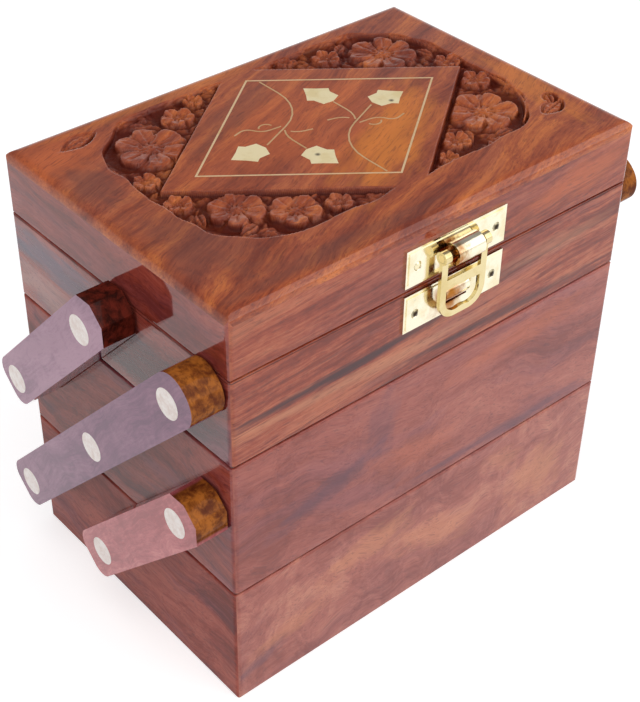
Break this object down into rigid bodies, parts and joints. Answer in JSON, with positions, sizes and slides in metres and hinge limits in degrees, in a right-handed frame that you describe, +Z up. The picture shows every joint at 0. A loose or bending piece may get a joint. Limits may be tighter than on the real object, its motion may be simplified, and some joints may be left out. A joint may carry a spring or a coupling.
{
  "type": "jewelry box",
  "caption": "Tiered wooden jewelry box: trays lift up and back on parallel side arms under a carved, inlaid lid with a small hasp.",
  "frame": {"origin": "centre of the base's underside, where the box rests", "axes": "+X to the right along the latch side, +Y from the latch to the hinges, +Z up"},
  "size_m": [0.175, 0.1145, 0.1438],
  "materials": {
    "rosewood": "clear gloss lacquer on sheesham",
    "arm_wood": "clear gloss lacquer on sheesham",
    "floor_wood": "thin satin lacquer",
    "velvet": "short pile",
    "pale_plug": "pale close-grained wood",
    "steel_screw": "plain turned",
    "inlay_brass": "filed flush and lacquered",
    "latch_brass": "bright polished"
  },
  "bodies": {
    "base": {"base_front_board": "rosewood", "base_rear_board": "rosewood", "base_left_board": "rosewood", "base_right_board": "rosewood", "base_floor": "floor_wood", "base_lining": "velvet", "base_pivot_screws": "steel_screw", "base_washers": "steel_screw"},
    "middle_tray": {"middle_front_board": "rosewood", "middle_rear_board": "rosewood", "middle_left_board": "rosewood", "middle_right_board": "rosewood", "middle_floor": "floor_wood", "middle_lining": "velvet", "middle_divider": "floor_wood", "middle_pivot_screws": "steel_screw", "middle_washers": "steel_screw"},
    "top_tray": {"top_front_board": "rosewood", "top_rear_board": "rosewood", "top_left_board": "rosewood", "top_right_board": "rosewood", "top_floor": "floor_wood", "top_lining": "velvet", "top_dividers": "floor_wood", "top_pivot_screws": "steel_screw", "top_washers": "steel_screw", "catch_plate": "latch_brass", "catch_nails": "latch_brass", "hinge_tray_leaves": "latch_brass", "hinge_pins": "latch_brass", "hinge_tray_screws": "latch_brass"},
    "long_left": {"long_arm_left": "arm_wood", "long_plugs_left": "pale_plug"},
    "long_right": {"long_arm_right": "arm_wood", "long_plugs_right": "pale_plug"},
    "upper_left": {"upper_arm_left": "arm_wood", "upper_plugs_left": "pale_plug"},
    "upper_right": {"upper_arm_right": "arm_wood", "upper_plugs_right": "pale_plug"},
    "lower_left": {"lower_arm_left": "arm_wood", "lower_plugs_left": "pale_plug"},
    "lower_right": {"lower_arm_right": "arm_wood", "lower_plugs_right": "pale_plug"},
    "lid": {"lid_carved_board": "rosewood", "lid_front_rim": "rosewood", "lid_rear_rim": "rosewood", "lid_left_rim": "rosewood", "lid_right_rim": "rosewood", "inlay_diamond": "inlay_brass", "inlay_vines": "inlay_brass", "inlay_leaves": "inlay_brass", "latch_plate": "latch_brass", "latch_pin": "latch_brass", "latch_nails": "latch_brass", "hinge_lid_leaves": "latch_brass", "hinge_lid_screws": "latch_brass"},
    "hasp": {"hasp": "latch_brass"}
  },
  "joints": [
    {"name": "tray_lift", "type": "hinge", "parent": "base", "child": "long_left", "pos_m": [-0.08225, 0.0405, 0.0302], "axis": [-1, 0, 0], "range_deg": [0, 87]},
    {"name": "long_arm_right_pivot", "type": "hinge", "parent": "base", "child": "long_right", "pos_m": [0.08225, 0.0405, 0.0302], "axis": [-1, 0, 0], "range_deg": [0, 87]},
    {"name": "lower_arm_left_pivot", "type": "hinge", "parent": "base", "child": "lower_left", "pos_m": [-0.08225, 0, 0.0302], "axis": [-1, 0, 0], "range_deg": [0, 87]},
    {"name": "lower_arm_right_pivot", "type": "hinge", "parent": "base", "child": "lower_right", "pos_m": [0.08225, 0.009, 0.0302], "axis": [-1, 0, 0], "range_deg": [0, 87]},
    {"name": "middle_tray_pivot", "type": "hinge", "parent": "long_left", "child": "middle_tray", "pos_m": [-0.08225, 0, 0.0727], "axis": [1, 0, 0], "range_deg": [0, 87]},
    {"name": "top_tray_pivot", "type": "hinge", "parent": "long_left", "child": "top_tray", "pos_m": [-0.08225, -0.0405, 0.1152], "axis": [1, 0, 0], "range_deg": [0, 87]},
    {"name": "upper_arm_left_pivot", "type": "hinge", "parent": "middle_tray", "child": "upper_left", "pos_m": [-0.08225, 0.0405, 0.0727], "axis": [-1, 0, 0], "range_deg": [0, 87]},
    {"name": "upper_arm_right_pivot", "type": "hinge", "parent": "middle_tray", "child": "upper_right", "pos_m": [0.08225, 0.0405, 0.0727], "axis": [-1, 0, 0], "range_deg": [0, 87]},
    {"name": "lid_hinge", "type": "hinge", "parent": "top_tray", "child": "lid", "pos_m": [0, 0.0539, 0.12295], "axis": [-1, 0, 0], "range_deg": [0, 110]},
    {"name": "hasp_hinge", "type": "hinge", "parent": "lid", "child": "hasp", "pos_m": [0.0028, -0.05554, 0.1322], "axis": [-1, 0, 0], "range_deg": [0, 197]}
  ],
  "couplings": [
    {"joint": "long_arm_right_pivot", "follows": "tray_lift", "ratio": 1},
    {"joint": "lower_arm_left_pivot", "follows": "tray_lift", "ratio": 1},
    {"joint": "lower_arm_right_pivot", "follows": "tray_lift", "ratio": 1},
    {"joint": "middle_tray_pivot", "follows": "tray_lift", "ratio": 1},
    {"joint": "top_tray_pivot", "follows": "tray_lift", "ratio": 1},
    {"joint": "upper_arm_left_pivot", "follows": "tray_lift", "ratio": 1},
    {"joint": "upper_arm_right_pivot", "follows": "tray_lift", "ratio": 1}
  ]
}
